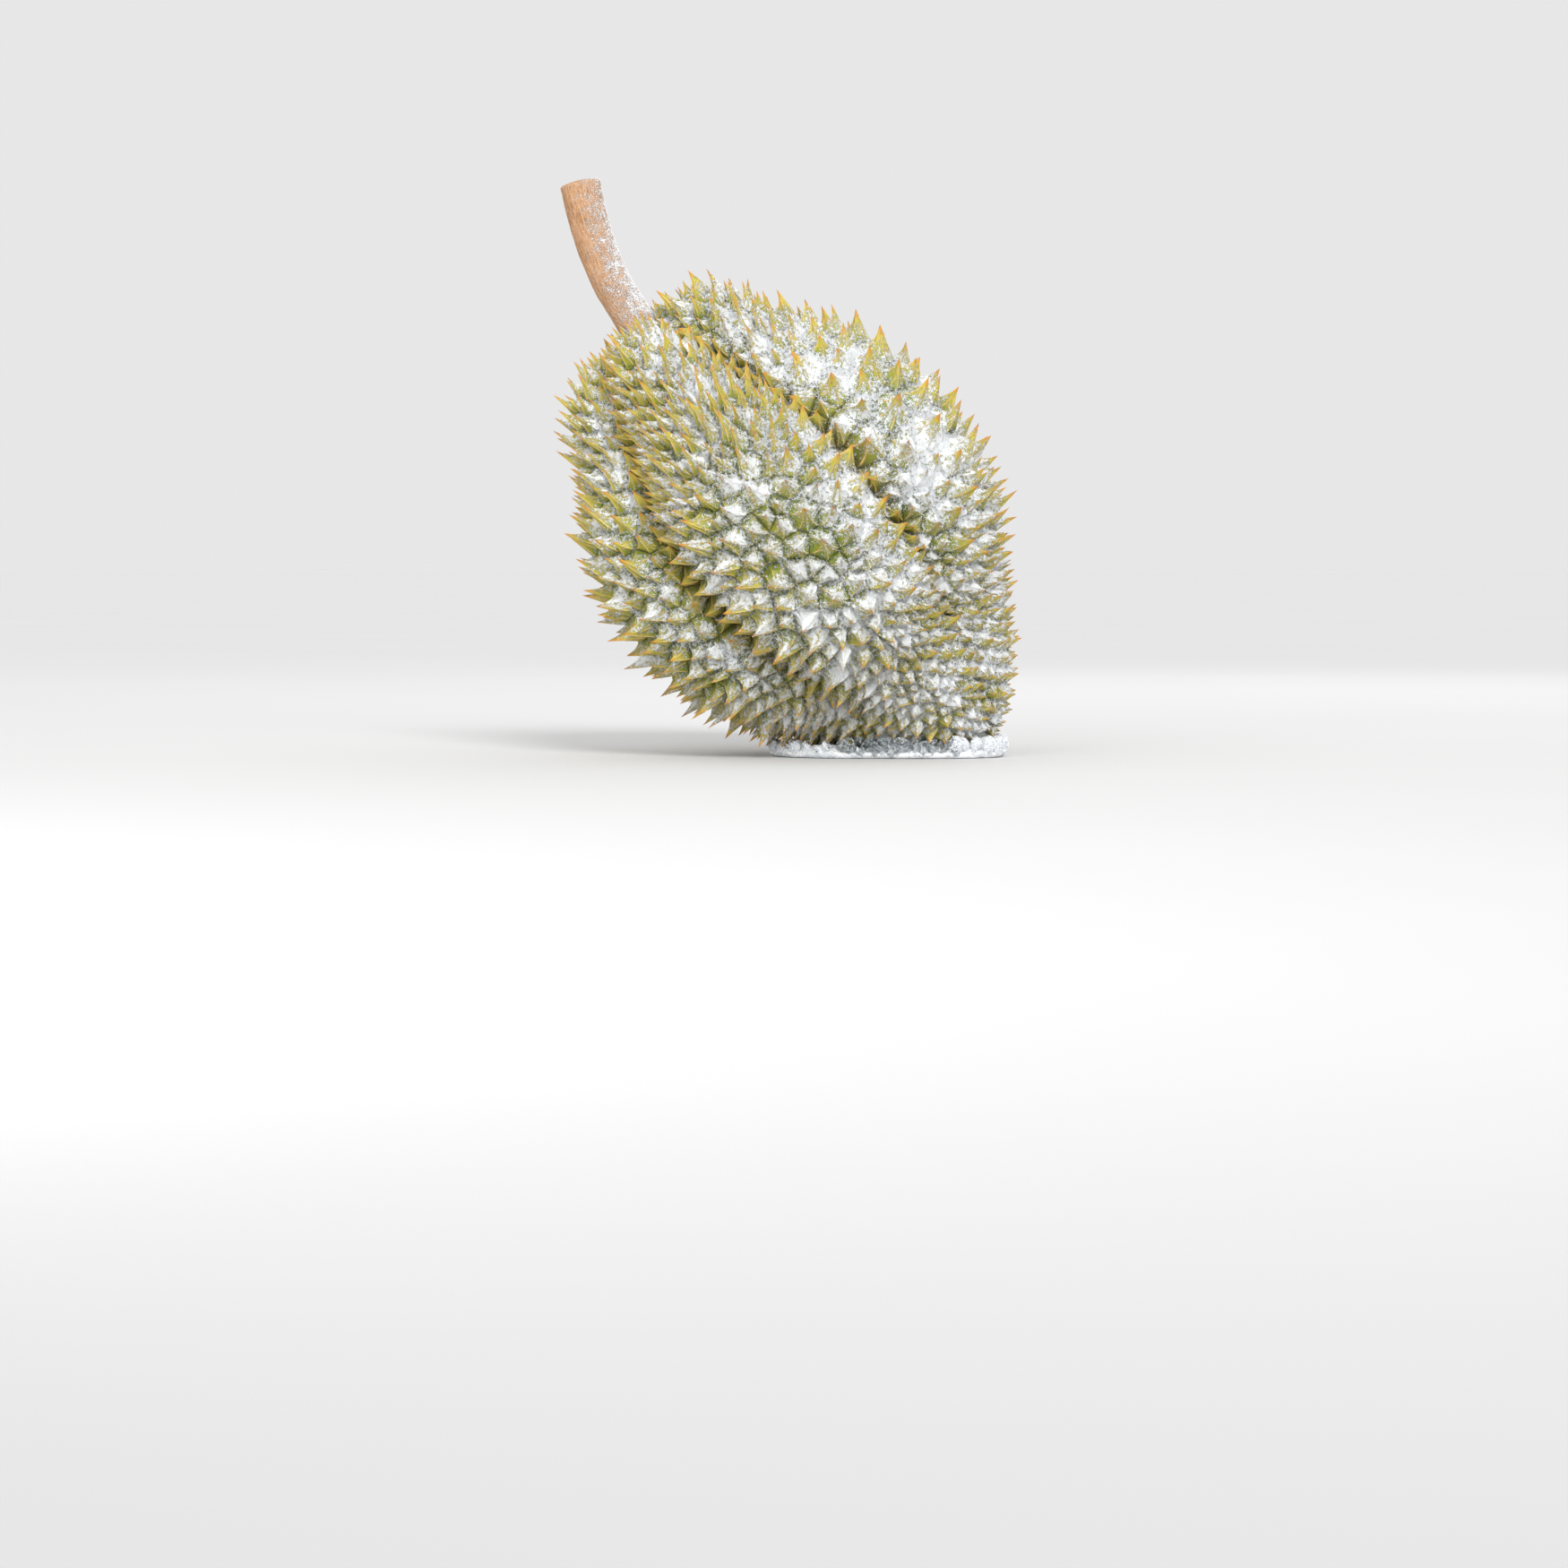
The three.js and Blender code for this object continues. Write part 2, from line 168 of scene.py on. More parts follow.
class Recipe:
    def __init__(self, name):
        self.material = bpy.data.materials.new(name)
        self.material.use_nodes = True
        self.tree = self.material.node_tree
        self.finish = self.tree.nodes["Principled BSDF"]

    # Any node: its type, its settings, and the values or wires of its sockets.
    def add(self, kind, settings=None, values=None, output=0):
        node = self.tree.nodes.new(kind)
        for key, value in (settings or {}).items():
            setattr(node, key, value)
        self.fill(node, values or {})
        return Wire(self, node.outputs[output])

    def fill(self, node, values):
        for key, value in values.items():
            if isinstance(value, Wire):
                self.tree.links.new(value.socket, node.inputs[key])
            else:
                node.inputs[key].default_value = value

    def attribute(self, name):
        return self.add("ShaderNodeAttribute", {"attribute_name": name}, output="Fac")

    def place(self):
        return self.add("ShaderNodeTexCoord", output="Object")

    def noise(self, scale, detail=2.0, vector=None, roughness=0.5):
        values = {"Vector": vector or self.place(), "Scale": scale, "Detail": detail, "Roughness": roughness}
        return self.add("ShaderNodeTexNoise", None, values, output="Fac")

    # 0 below low, 1 above high, and smooth between.
    def step(self, value, low, high):
        values = {"Value": value, "From Min": low, "From Max": high, "To Min": 0.0, "To Max": 1.0}
        return self.add("ShaderNodeMapRange", {"interpolation_type": "SMOOTHSTEP"}, values)

    def blend(self, first, second, share):
        return self.add("ShaderNodeMix", {"data_type": "RGBA"}, {0: share, 6: first, 7: second}, output=2)

    def bump(self, height, distance, normal=None):
        values = {"Height": height, "Distance": distance, "Strength": 1.0}
        if normal:
            values["Normal"] = normal
        return self.add("ShaderNodeBump", None, values)

    def done(self, values):
        self.fill(self.finish, values)
        return self.material


# A colour as it looks on screen, 0 to 255, made linear.
def colour(red, green, blue):
    return tuple((c / 255) ** 2.2 for c in (red, green, blue)) + (1.0,)


# The fruit's own shape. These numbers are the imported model's own. The radii stand every 18 degrees from the
# stem end to the pointed end. A pair of angles is where a change starts and where it is complete.

fruit = {
    "centre": np.array([-44.8, 0, 111.2]),
    "radii": np.array([127, 131, 110.5, 104.5, 101, 97, 96.5, 96, 101, 121.3, 140]),
    "lean": 40.6 * deg,
    "lobes": 5,
    "lobeCrest": -6 * deg,
    "grooveDepth": 0.2,
    "grooveSharpness": 0.58,
    "grooveStarts": (0, 18 * deg),
    "grooveFades": (95 * deg, 165 * deg),
    "grooveFadedBy": 0.75,
    "stemSeat": np.array([-131, 0, 221]),
    "stemSeatRadius": 13,
    "cutHeight": 5.0,
}

spines = {
    "spacingStem": 9.1,
    "spacingMiddle": 15.0,
    "spacingRightLobe": 19.5,
    "rightLobeMiddle": 60 * deg,
    "rightLobeEdge": (50 * deg, 15 * deg),
    "spacingBlossom": 7.5,
    "blossomSpacingFrom": (90 * deg, 180 * deg),
    "widestAt": 72 * deg,
    "widestOnForwardLobe": 93 * deg,
    "wideToStem": 37 * deg,
    "wideToBlossom": 47 * deg,
    "wideZoneSharpness": 2.6,
    "forwardLobeEdge": (46 * deg, 26 * deg),
    "forwardLobeNarrowing": 0.25,
    "candidates": 60013,
    "stride": 7919,
    "largestSize": 1.15,
    "sizeRange": 0.6,
    "smallSizeRarity": 1.8,
    "packing": 0.78,
    "height": 15.0,
    "stemHeightShare": 0.87,
    "stemHeightZone": (15 * deg, 60 * deg),
    "blossomHeightShare": 0.42,
    "blossomHeightZone": (118 * deg, 172 * deg),
    "grooveHeightShare": 0.6,
    "heightBySize": 0.8,
    "leastHeight": 0.92,
    "heightRange": 0.16,
    "leanAtStem": 0.62,
    "leanElsewhere": 0.18,
    "leanZone": (40 * deg, 85 * deg),
    "splay": 0.16,
    "fineRings": np.array([0.05, 0.14, 0.29, 0.51, 0.80]),  # from tip to foot, as shares of the foot's radius
    "plainRings": np.array([0.08, 0.30, 0.74]),  # the same, on spines narrower than fineFrom
    "fineFrom": 11.5,
    "ridgePower": 2.0,
    "flankPower": 2.4,
    "flankPinch": 0.12,
    "cornerRise": 0.4,
    "creaseDrop": 0.9,
    "hook": 0.55,
    "hookVariety": 0.5,
    "siteSeed": 20611,
    "shapeSeed": 977,
    "hookSeed": 4099,
    "toneSeed": 3571,
}

stemAxis = np.array([-math.sin(fruit["lean"]), 0, math.cos(fruit["lean"])])
forward = np.array([0.0, -1.0, 0.0])
sideways = np.cross(stemAxis, forward)


def anglesOf(directions):
    polar = np.arccos(np.clip(dot(directions, stemAxis), -1, 1))
    return polar, np.arctan2(dot(directions, sideways), dot(directions, forward))


# Radius of the plain body: a smooth cubic through the radii, level at both ends.
def plainRadius(polar):
    radii = fruit["radii"]
    last = len(radii) - 1
    place = polar / math.pi * last
    i = np.minimum(last - 1, np.floor(place).astype(int))
    t = place - i
    a, b, c = radii[np.abs(i - 1)], radii[i], radii[i + 1]
    d = radii[np.where(i + 2 > last, 2 * last - i - 2, i + 2)]
    return b + 0.5 * t * (c - a + t * (2 * a - 5 * b + 4 * c - d + t * (3 * (b - c) + d - a)))


# How deep a direction lies in a groove between two lobes: 1 at the bottom of a full groove.
def grooveShare(directions):
    polar, around = anglesOf(directions)
    lobe = np.abs(np.cos(fruit["lobes"] / 2 * (around - fruit["lobeCrest"]))) ** fruit["grooveSharpness"]
    faded = fruit["grooveFadedBy"] * smoothStep(*fruit["grooveFades"], polar)
    return smoothStep(*fruit["grooveStarts"], polar) * (1 - faded) * (1 - lobe)


# A point of the body for each direction from its centre: the plain radius, less the groove.
def bodyPoint(directions):
    radius = plainRadius(anglesOf(directions)[0]) * (1 - fruit["grooveDepth"] * grooveShare(directions))
    return directions * radius[..., None]


# Outward normal of the body, from two short steps across it.
def bodyNormal(directions):
    step = 0.03
    across = np.cross(np.array([0.0, 0.0, 1.0]), directions)
    across = np.where(dot(across, across)[..., None] < 1e-6, np.array([1.0, 0.0, 0.0]), across)
    across = unit(across)
    along = np.cross(directions, across)

    def slope(side):
        return bodyPoint(unit(directions + side * step)) - bodyPoint(unit(directions - side * step))

    return unit(np.cross(slope(across), slope(along)))


# Width of a spine's foot. It is wide in a zone round the fruit, which lies lower and is narrower on the
# lobe that faces forward, and it is widest on the lobe that faces up and right.
def spacingAt(directions):
    polar, around = anglesOf(directions)
    onForwardLobe = smoothStep(*spines["forwardLobeEdge"], np.abs(around - fruit["lobeCrest"]))
    widest = mixed(spines["widestAt"], spines["widestOnForwardLobe"], onForwardLobe)
    reach = np.where(polar < widest, spines["wideToStem"], spines["wideToBlossom"])
    reach = reach * (1 - spines["forwardLobeNarrowing"] * onForwardLobe)
    coarse = np.exp(-((np.abs(polar - widest) / reach) ** spines["wideZoneSharpness"]))
    towardsBlossom = smoothStep(*spines["blossomSpacingFrom"], polar)
    fine = mixed(spines["spacingStem"], spines["spacingBlossom"], towardsBlossom)
    onRightLobe = smoothStep(*spines["rightLobeEdge"], np.abs(around - spines["rightLobeMiddle"]))
    return mixed(fine, mixed(spines["spacingMiddle"], spines["spacingRightLobe"], onRightLobe), coarse)


# Sites of the spines: candidates spread evenly, taken in a mixed order and kept where there is room.
def placeSites():
    count = spines["candidates"]
    i = np.arange(count) * spines["stride"] % count
    z = 1 - 2 * (i + 0.5) / count
    ring = np.sqrt(1 - z * z)
    turn = i * math.pi * (3 - math.sqrt(5))  # the golden angle from each candidate to the next
    directions = np.stack([ring * np.cos(turn), ring * np.sin(turn), z], axis=1)
    shrink = spines["sizeRange"] * drawMany(spines["siteSeed"], count) ** spines["smallSizeRarity"]
    sizes = spacingAt(directions) * (spines["largestSize"] - shrink)
    bases = bodyPoint(directions)
    seat = unit(fruit["stemSeat"] - fruit["centre"])
    keptBases = np.zeros((count, 3))
    keptSizes = np.zeros(count)
    keptBases[0] = bodyPoint(seat[None])[0]
    keptSizes[0] = 2 * fruit["stemSeatRadius"]
    chosen = []
    for k in range(count):
        have = len(chosen) + 1
        gap = np.sqrt(((keptBases[:have] - bases[k]) ** 2).sum(axis=1))
        if np.all(gap > spines["packing"] * (keptSizes[:have] + sizes[k]) / 2):
            keptBases[have] = bases[k]
            keptSizes[have] = sizes[k]
            chosen.append(k)
    have = len(chosen) + 1
    return np.vstack([seat[None], directions[chosen]]), keptBases[:have], keptSizes[:have]


# Where each spine points and how tall it is. The first site is the stem's seat, which has no spine.
def shapeSpines(directions, sizes):
    count = len(directions)
    draws = drawMany(spines["shapeSeed"], 4 * count)
    rest = draws[3:4 * count - 1].reshape(-1, 4)
    splay = np.vstack([draws[None, :3], rest[:, :3]]) - 0.5
    polar = anglesOf(directions)[0]
    normal = bodyNormal(directions)
    stemward = stemAxis - normal * (normal @ stemAxis)[:, None]
    sweep = mixed(spines["leanAtStem"], spines["leanElsewhere"], smoothStep(*spines["leanZone"], polar))
    points = unit(normal + stemward * sweep[:, None] + splay * 2 * spines["splay"])
    nearStem = mixed(spines["stemHeightShare"], 1, smoothStep(*spines["stemHeightZone"], polar))
    nearBlossom = smoothStep(*spines["blossomHeightZone"], polar)
    taper = mixed(nearStem, spines["blossomHeightShare"], nearBlossom)
    inGroove = mixed(1, spines["grooveHeightShare"], grooveShare(directions))
    relative = sizes / spacingAt(directions)
    heights = spines["height"] * taper * inGroove * relative ** spines["heightBySize"]
    heights[1:] *= spines["leastHeight"] + spines["heightRange"] * rest[:, 3]
    heights[0] = 0
    variety = drawMany(spines["hookSeed"], 3 * count).reshape(-1, 3) - 0.5
    hooks = spines["hook"] * stemward + spines["hookVariety"] * variety
    return points, heights, hooks


# Triangles of the convex hull over the weighted sites. Each one is a corner where three spines' feet meet.
# A site is lifted by half the square of its half width over the radius, so that a large one takes more
# room.
def hullTriangles(directions, bases, sizes):
    share = sizes / 2 / np.linalg.norm(bases, axis=1)
    points = directions * (1 + 0.5 * share ** 2)[:, None]
    mesh = bpy.data.meshes.new("hull")
    mesh.from_pydata(points, [], [])
    shell = bmesh.new()
    shell.from_mesh(mesh)
    bmesh.ops.convex_hull(shell, input=shell.verts)
    shell.to_mesh(mesh)
    shell.free()
    corners = np.empty(len(mesh.loops), dtype=np.int32)
    mesh.loops.foreach_get("vertex_index", corners)
    positions = vertexPoints(mesh) * mm
    bpy.data.meshes.remove(mesh)
    triangles = corners.reshape(-1, 3)
    a, b, c = (positions[triangles[:, k]] for k in range(3))
    normal = unit(np.cross(b - a, c - a))
    inward = dot(normal, a) < 0
    triangles[inward] = triangles[inward][:, ::-1]
    normal[inward] *= -1
    return triangles, normal


directions, bases, sizes = placeSites()
points, heights, hooks = shapeSpines(directions, sizes)
triangles, corners = hullTriangles(directions, bases, sizes)
used, triangles = np.unique(triangles, return_inverse=True)  # a site hidden between larger ones has no spine
triangles = triangles.reshape(-1, 3)
sizes, points, heights, hooks = (array[used] for array in (sizes, points, heights, hooks))
print("stage:", len(used) - 1, "spines placed")


# What a point of the skin is: the tip of a spine, on a ridge or a flank, or in the crease round a foot,
# where it stands at a corner between three feet or midway between two corners.
tipPoint, ridgePoint, flankPoint, cornerPoint, creasePoint = range(5)
ridgeKinds = (tipPoint, ridgePoint, cornerPoint)
creaseKinds = (cornerPoint, creasePoint)


# The husk's surface, a function of two parameters on each wedge between two ridges of a spine: the share of
# the way from tip to foot, and the share of the way from one ridge to the next. A point stands on the
# straight line from the middle of the foot to its rim. It is raised along the spine by the height times
# what is left of the way to a power, higher on flanks than on ridges, so that flanks are hollow and ridges
# sharp. The hook moves it by the way times what is left, and the pinch draws the flanks in halfway down.
def raised(spine, foot, rimPoints, way, power, pinch):
    left = (1 - way)[None, :, None]
    reach = (way * (1 - pinch * 4 * way * (1 - way)))[None, :, None]
    base = foot[spine][:, None] + (rimPoints - foot[spine])[:, None] * reach
    bent = hooks[spine][:, None] * way[None, :, None] * left
    return base + (points[spine][:, None] * left ** power - bent) * heights[spine][:, None, None]


# The whole skin: its points and triangles, each point's kind, rise towards the tip and tone, and the
# direction across the foot at each corner of a triangle. The crease between two spines is a drop at the
# very rim.
def huskArrays():
    count, faces = len(sizes), len(triangles)
    start = triangles.ravel()
    end = np.roll(triangles, -1, axis=1).ravel()
    order = np.argsort(start * count + end)
    keys = (start * count + end)[order]
    twin = order[np.searchsorted(keys, end * count + start)]
    wedges = np.arange(3 * faces)
    firstRidge = 3 * (twin // 3) + (twin % 3 + 1) % 3  # the same spine's wedge in the face across the edge
    edgeFirst, edgeOf = np.unique(np.minimum(wedges, twin), return_inverse=True)

    rim = bodyPoint(corners)
    foot = np.stack([np.bincount(start, np.repeat(rim[:, k], 3), count) for k in range(3)], axis=1)
    foot /= np.bincount(start, minlength=count)[:, None]
    edgeMiddle = bodyPoint(unit(rim[edgeFirst // 3] + rim[twin[edgeFirst] // 3]))

    rimCorner = rim + corners * spines["cornerRise"]
    rimMiddle = edgeMiddle - unit(edgeMiddle) * spines["creaseDrop"]
    apex = foot + points * heights[:, None]
    siteTone = drawMany(spines["toneSeed"], count)
    edgeTone = (siteTone[start[edgeFirst]] + siteTone[end[edgeFirst]]) / 2
    places = [apex, rimCorner, rimMiddle]
    kinds = [np.full(count, tipPoint), np.full(faces, cornerPoint), np.full(len(edgeFirst), creasePoint)]
    rises = [np.ones(count), np.zeros(faces + len(edgeFirst))]
    tones = [siteTone, siteTone[triangles].mean(axis=1), edgeTone]
    skins, spreads = [], []
    filled = count + faces + len(edgeFirst)
    fine = sizes[start] > spines["fineFrom"]

    # The wedges that have the same rings, as one group: fine rings on wide spines, plain ones on the others.
    for chosen, way in ((fine, spines["fineRings"]), (~fine, spines["plainRings"])):
        mine = wedges[chosen]
        spine = start[mine]
        inner = len(way)
        added = len(mine) * inner
        ridge = raised(spine, foot, rimCorner[mine // 3], way, spines["ridgePower"], 0)
        middle = edgeMiddle[edgeOf[mine]]
        flank = raised(spine, foot, middle, way, spines["flankPower"], spines["flankPinch"])
        places += [ridge.reshape(-1, 3), flank.reshape(-1, 3)]
        kinds += [np.full(added, ridgePoint), np.full(added, flankPoint)]
        rises += [np.tile(1 - way, 2 * len(mine))]
        tones += [np.repeat(siteTone[spine], inner)] * 2

        # Each wedge has three columns of points from the tip down: a ridge, the middle of the flank, a ridge.
        local = np.zeros(3 * faces, dtype=int)
        local[mine] = np.arange(len(mine)) * inner
        ridgeStart, flankStart = filled, filled + added
        filled = flankStart + added
        tops = (ridgeStart + local[firstRidge[mine]], flankStart + local[mine], ridgeStart + local[mine])
        feet = (count + twin[mine] // 3, count + faces + edgeOf[mine], count + mine // 3)
        steps = np.arange(inner)[None]
        columns = [np.hstack([top[:, None] + steps, last[:, None]]) for top, last in zip(tops, feet)]
        columns = np.stack(columns, axis=1)
        near, far = columns[:, :, :-1], columns[:, :, 1:]
        rims = np.stack([rim[twin[mine] // 3], middle, rim[mine // 3]], axis=1)
        spokes = unit(rims - foot[spine][:, None])
        for j in (0, 1):
            one, two = spokes[:, j], spokes[:, j + 1]
            skins.append(np.stack([spine, columns[:, j, 0], columns[:, j + 1, 0]], axis=1))
            skins.append(np.stack([near[:, j], far[:, j], far[:, j + 1]], axis=2).reshape(-1, 3))
            skins.append(np.stack([near[:, j], far[:, j + 1], near[:, j + 1]], axis=2).reshape(-1, 3))
            spreads.append(np.stack([(one + two) / 2, one, two], axis=1))
            spreads.append(np.repeat(np.stack([one, one, two], axis=1), inner, axis=0))
            spreads.append(np.repeat(np.stack([one, two, two], axis=1), inner, axis=0))

    arrays = (places, skins, kinds, rises, tones, spreads)
    places, skins, kinds, rises, tones, spreads = (np.concatenate(array) for array in arrays)
    return places + fruit["centre"], skins, kinds, rises, tones, spreads


# How much frost lies at a point. To one amount is added what a facet, the body and a foot get by facing up
# and to the right, what each spine gets by its tone, and soft drifts. Ridges and tips have less, and grooves
# have less as painted shade that darkens them. On the side that faces forward it lies on the tops of the
# spines and leaves the creases bare. A zone is where a change starts and where it is complete.
frost = {
    "amount": 0.60,
    "fallsFrom": unit(np.array([0.45, -0.20, 0.85])),
    "driftsFrom": unit(np.array([0.90, -0.15, -0.05])),
    "facetShare": 0.24,
    "bodyShare": 0.06,
    "sideShare": 0.10,
    "spineShare": 0.20,
    "footShare": 0.14,
    "grooveShare": 0.34,
    "grooveZone": (0.45, 0.95),
    "ridgeShare": 0.26,
    "ridgeZone": (0.05, 0.4),
    "tipShare": 0.35,
    "tipZone": (0.7, 0.95),
    "faceOnZone": (0.84, 0.97),
    "faceOnShare": 0.24,
    "faceOnTops": (0.05, 0.5),
    "faceOnCreases": 0.6,
    "faceOnTips": 0.8,  # how much of the loss on tips is taken back there
    "faceOnRidges": 0.7,  # the same for ridges
    "driftShare": 0.11,
    "driftWaves": 28,
    "driftLengths": (9.0, 34.0),
    "driftSeed": 33,
}


# Soft drifts: a sum of plane waves in many directions, with an even spread of lengths.
def driftField(places):
    random = np.random.default_rng(frost["driftSeed"])
    count = frost["driftWaves"]
    ways = unit(random.normal(size=(count, 3)))
    lengths = mixed(*frost["driftLengths"], random.random(count))
    phases = random.random(count) * 2 * math.pi
    waves = np.sin(places @ (ways / lengths[:, None]).T * 2 * math.pi + phases)
    return waves.sum(axis=1) / math.sqrt(count / 2)


def frostAmount(places, normals, rise, ridge, tone):
    toward = unit(places - fruit["centre"])
    outward = bodyNormal(toward)
    amount = frost["amount"] + frost["facetShare"] * ((normals - outward) @ frost["fallsFrom"])
    amount += frost["bodyShare"] * (outward @ frost["fallsFrom"])
    amount += frost["sideShare"] * (outward @ frost["driftsFrom"]) + frost["spineShare"] * (tone - 0.5)
    amount += frost["driftShare"] * driftField(places)
    faceOn = smoothStep(*frost["faceOnZone"], outward @ forward)
    amount += frost["footShare"] * (1 - faceOn) * (1 - rise) * (outward @ frost["fallsFrom"])
    onTops = smoothStep(*frost["faceOnTops"], rise) - frost["faceOnCreases"]
    amount += frost["faceOnShare"] * faceOn * onTops
    # Less frost in the grooves: painted shade that lets the darker skin show there.
    amount -= frost["grooveShare"] * smoothStep(*frost["grooveZone"], grooveShare(toward))
    amount -= frost["tipShare"] * (1 - frost["faceOnTips"] * faceOn) * smoothStep(*frost["tipZone"], rise)
    bare = frost["ridgeShare"] * ridge * (1 - frost["faceOnRidges"] * faceOn)
    return amount - bare * smoothStep(*frost["ridgeZone"], rise)


def makeHuskMesh():
    places, skin, kind, rise, tone, spokes = huskArrays()
    mesh = meshFrom("husk_skin", places, skin)
    layer = mesh.attributes.new("spoke", "FLOAT_VECTOR", "CORNER")
    layer.data.foreach_set("vector", spokes.astype(np.float32).ravel())
    onRidge = np.isin(kind, ridgeKinds).astype(float)
    edges = np.empty(len(mesh.edges) * 2, dtype=np.int32)
    mesh.edges.foreach_get("vertices", edges)
    ends = kind[edges.reshape(-1, 2)]
    alongRidge = np.isin(ends, ridgeKinds).all(axis=1)
    alongCrease = np.isin(ends, creaseKinds).all(axis=1)
    mesh.edges.foreach_set("use_edge_sharp", alongRidge | alongCrease)
    setSmooth(mesh, True)
    normals = vertexNormals(mesh)
    addAttribute(mesh, "rise", rise)
    addAttribute(mesh, "ridge", onRidge)
    addAttribute(mesh, "tone", tone)
    addAttribute(mesh, "frost", frostAmount(places, normals, rise, onRidge, tone))
    addAttribute(mesh, "groove", grooveShare(unit(places - fruit["centre"])))
    return cutFlat(mesh, fruit["cutHeight"])


# The skin cut level at a height, with a flat face over the cut.
def cutFlat(mesh, height):
    shell = bmesh.new()
    shell.from_mesh(mesh)
    everything = shell.verts[:] + shell.edges[:] + shell.faces[:]
    bmesh.ops.bisect_plane(shell, geom=everything, dist=1e-7, plane_co=(0, 0, height * mm),
                           plane_no=(0, 0, -1), clear_outer=True)
    rim = [edge for edge in shell.edges if edge.is_boundary]
    bmesh.ops.triangle_fill(shell, use_beauty=True, edges=rim, normal=(0, 0, -1))
    shell.to_mesh(mesh)
    shell.free()
    return mesh


# The husk's finish: olive flanks with fine streaks down from the tip, tan ridges, orange-brown tips, dark
# creases, painted shade that darkens the grooves, and granular frost over them. A pair of colours is blended
# in patches. The grains, clumps and other patterns are given by their noise scale, and relief by its depth in
# metres.
huskLook = {
    "green": (colour(116, 131, 18), colour(170, 169, 50)),
    "tan": (colour(186, 178, 56), colour(216, 184, 94)),
    "deep": (colour(58, 72, 8), colour(58, 46, 14)),
    "ridgeLine": colour(226, 186, 124),
    "tip": colour(226, 152, 62),
    "speck": colour(132, 66, 48),
    "film": colour(206, 214, 196),
    "frost": colour(243, 246, 249),
    "patches": 60.0,
    "mottle": 420.0,
    "streaks": 6.5,
    "specks": 560.0,
    "grains": 1900.0,
    "clumps": 520.0,
    "whiteZone": (0.45, 0.60),
    "filmShare": 0.11,
    "skinRelief": 0.0006,
    "frostRelief": 0.0007,
}


def makeHuskFinish():
    m = Recipe("husk_finish")
    look = huskLook
    rise, ridge, tone = m.attribute("rise"), m.attribute("ridge"), m.attribute("tone")
    groove, frosty = m.attribute("groove"), m.attribute("frost")
    patches = m.noise(look["patches"], 3.0)
    mottle = m.noise(look["mottle"], 3.0)
    spoke = m.add("ShaderNodeAttribute", {"attribute_name": "spoke"}, output="Vector")
    apart = m.add("ShaderNodeCombineXYZ", None, {0: tone * 90.0, 1: tone * 57.0, 2: rise * 0.8})
    streakPlace = m.add("ShaderNodeVectorMath", {"operation": "ADD"}, {0: spoke, 1: apart})
    streaks = m.noise(look["streaks"], 3.0, vector=streakPlace, roughness=0.6)

    green = m.blend(*look["green"], m.step(tone * 0.5 + patches * 0.8, 0.35, 0.95))
    tan = m.blend(*look["tan"], m.step(streaks * 0.7 + mottle * 0.3, 0.44, 0.62))
    # The dark colour of the creases at the spines' feet, browner in the grooves, where it also serves as
    # painted shade.
    deep = m.blend(*look["deep"], m.step(groove + patches * 0.3, 0.35, 0.8))
    skin = m.blend(green, tan, m.step(rise + (streaks - 0.5) * 0.9 + (mottle - 0.5) * 0.2, 0.18, 0.88))
    skin = m.blend(deep, skin, m.step(rise + (mottle - 0.5) * 0.05, 0.0, 0.075))
    # Painted shade: the grooves darkened low on the spines and on the skin between them.
    skin = m.blend(skin, deep, m.step(groove, 0.35, 0.95) * m.step(rise, 0.9, 0.2) * 0.75)
    line = m.step(ridge ** 3.0 + (mottle - 0.5) * 0.3, 0.45, 0.85) * m.step(rise, 0.02, 0.3)
    skin = m.blend(skin, look["ridgeLine"], line * 0.85)
    tipped = m.step(rise + (mottle - 0.5) * 0.08, 0.80, 0.96)
    skin = m.blend(skin, look["tip"], tipped * 0.9)
    specks = m.step(m.noise(look["specks"], 1.0), 0.68, 0.73) * m.step(rise, 0.25, 0.05)
    skin = m.blend(skin, look["speck"], specks * 0.8)

    grains = m.noise(look["grains"], 2.0, roughness=0.7)
    clumps = m.noise(look["clumps"], 2.0, roughness=0.6)
    cover = frosty + (grains - 0.5) * 2.0 + (clumps - 0.5) * 1.4 + (streaks - 0.5) * 0.5
    white = m.step(cover, *look["whiteZone"])
    iced = m.blend(skin, look["film"], m.step(cover, 0.1, 0.7) * look["filmShare"])
    iced = m.blend(iced, look["frost"], white * 0.96)
    height = m.bump(streaks * 0.7 + mottle * 0.3, look["skinRelief"])
    height = m.bump(white * (0.5 + grains), look["frostRelief"], height)
    rough = 0.45 + white * 0.3 + mottle * 0.12
    return m.done({"Base Color": iced, "Roughness": rough, "Normal": height})


huskMesh = makeHuskMesh()
addPiece("husk_skin", huskMesh, makeHuskFinish(), "husk", "husk")
print("stage: husk made,", len(huskMesh.polygons), "faces")


# The stem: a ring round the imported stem's middle line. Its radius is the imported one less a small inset,
# wider at both ends, with fibres and lumps that run along it. Its cut end is rounded and a little domed.
stem = {
    "path": np.array([[-119, 0, 204], [-131, 0, 221], [-136.6, 0, 230], [-143.3, 0, 243], [-148.6, 0, 257.4],
                      [-152.6, 0, 271.4], [-156, 0, 287.4]], dtype=float),
    "radius": 9.6,
    "inset": 0.25,
    "endFlare": 0.07,
    "footFlare": 0.1,
    "around": 144,
    "along": 150,
    "fibreDepth": 0.16,
    "lumpDepth": 0.22,
    "edgeLength": 1.2,
    "edgeDrop": 0.10,
    "dome": 1.3,
    "endRings": (0.85, 0.6, 0.3),
    "frostFrom": unit(np.array([0.72, -0.56, 0.30])),
    "frost": 0.05,
    "litShare": 0.36,
    "footShare": 0.36,
    "bark": (colour(150, 104, 68), colour(208, 162, 118)),
    "blotch": colour(172, 126, 102),
    "cutEnd": colour(190, 150, 108),
    "film": colour(226, 214, 206),
    "white": colour(247, 248, 250),
}


